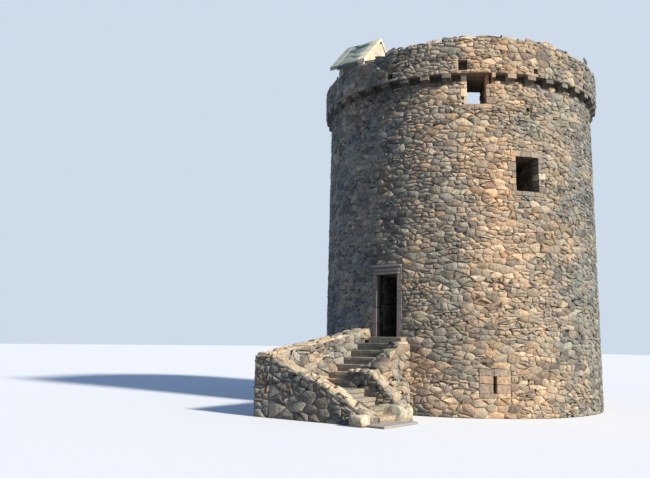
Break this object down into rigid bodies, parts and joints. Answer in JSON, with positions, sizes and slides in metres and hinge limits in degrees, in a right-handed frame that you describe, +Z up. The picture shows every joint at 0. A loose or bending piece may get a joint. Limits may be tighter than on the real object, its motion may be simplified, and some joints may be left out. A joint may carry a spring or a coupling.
{
  "type": "round tower keep with forestair",
  "caption": "Round rubble tower keep, open to the sky, with a vaulted cellar, corbelled parapet, gabled cap-house and a stone forestair to its first-floor door.",
  "frame": {"origin": "on the tower's axis at ground level, on the underside of the cellar floor", "axes": "+Z up; the entrance door faces -Y; the forestair's foot lies towards +X"},
  "size_m": [9.088, 12.2813, 11.71],
  "materials": {
    "cope_stone": "pale weathered cope stones",
    "corbel_stone": "grey split stones with rounded noses",
    "dressed_stone": "tooled pinkish-grey freestone",
    "paving_stone": "worn grey flagstones",
    "roof_slabs": "greenish lichened stone slabs",
    "rubble_stone": "rough grey and brown rubble with lime mortar"
  },
  "bodies": {
    "root": {"cap_house_gables": "rubble_stone", "cap_house_roof_inner": "roof_slabs", "cap_house_roof_outer": "roof_slabs", "cap_house_skews": "cope_stone", "cap_house_walls": "rubble_stone", "cellar_floor": "paving_stone", "cellar_vault": "rubble_stone", "cellar_wall_at_slit": "rubble_stone", "cellar_wall_back": "rubble_stone", "cellar_wall_front": "rubble_stone", "cellar_wall_left": "rubble_stone", "cellar_wall_over_door": "rubble_stone", "cellar_wall_right": "rubble_stone", "corbel_infill": "rubble_stone", "corbel_stones": "corbel_stone", "door_hood": "dressed_stone", "door_jambs": "dressed_stone", "door_lintels": "dressed_stone", "door_threshold": "dressed_stone", "hall_floor": "paving_stone", "parapet_1": "rubble_stone", "parapet_2": "rubble_stone", "parapet_3": "rubble_stone", "parapet_4": "rubble_stone", "stair_core_lower": "rubble_stone", "stair_core_upper": "rubble_stone", "stair_foot_slab": "paving_stone", "stair_front_wall": "rubble_stone", "stair_inner_wall": "rubble_stone", "stair_left_wall": "rubble_stone", "stair_right_wall": "rubble_stone", "stair_treads": "paving_stone", "wall_back": "rubble_stone", "wall_beside_door": "rubble_stone", "wall_between_back_windows": "rubble_stone", "wall_between_windows": "rubble_stone", "wall_left": "rubble_stone", "wall_over_openings": "rubble_stone", "wall_right": "rubble_stone", "wall_right_front": "rubble_stone", "wall_under_windows": "rubble_stone", "wall_walk_flags": "paving_stone", "window_jambs": "dressed_stone", "window_lintels": "dressed_stone", "window_sills": "dressed_stone"}
  },
  "joints": []
}
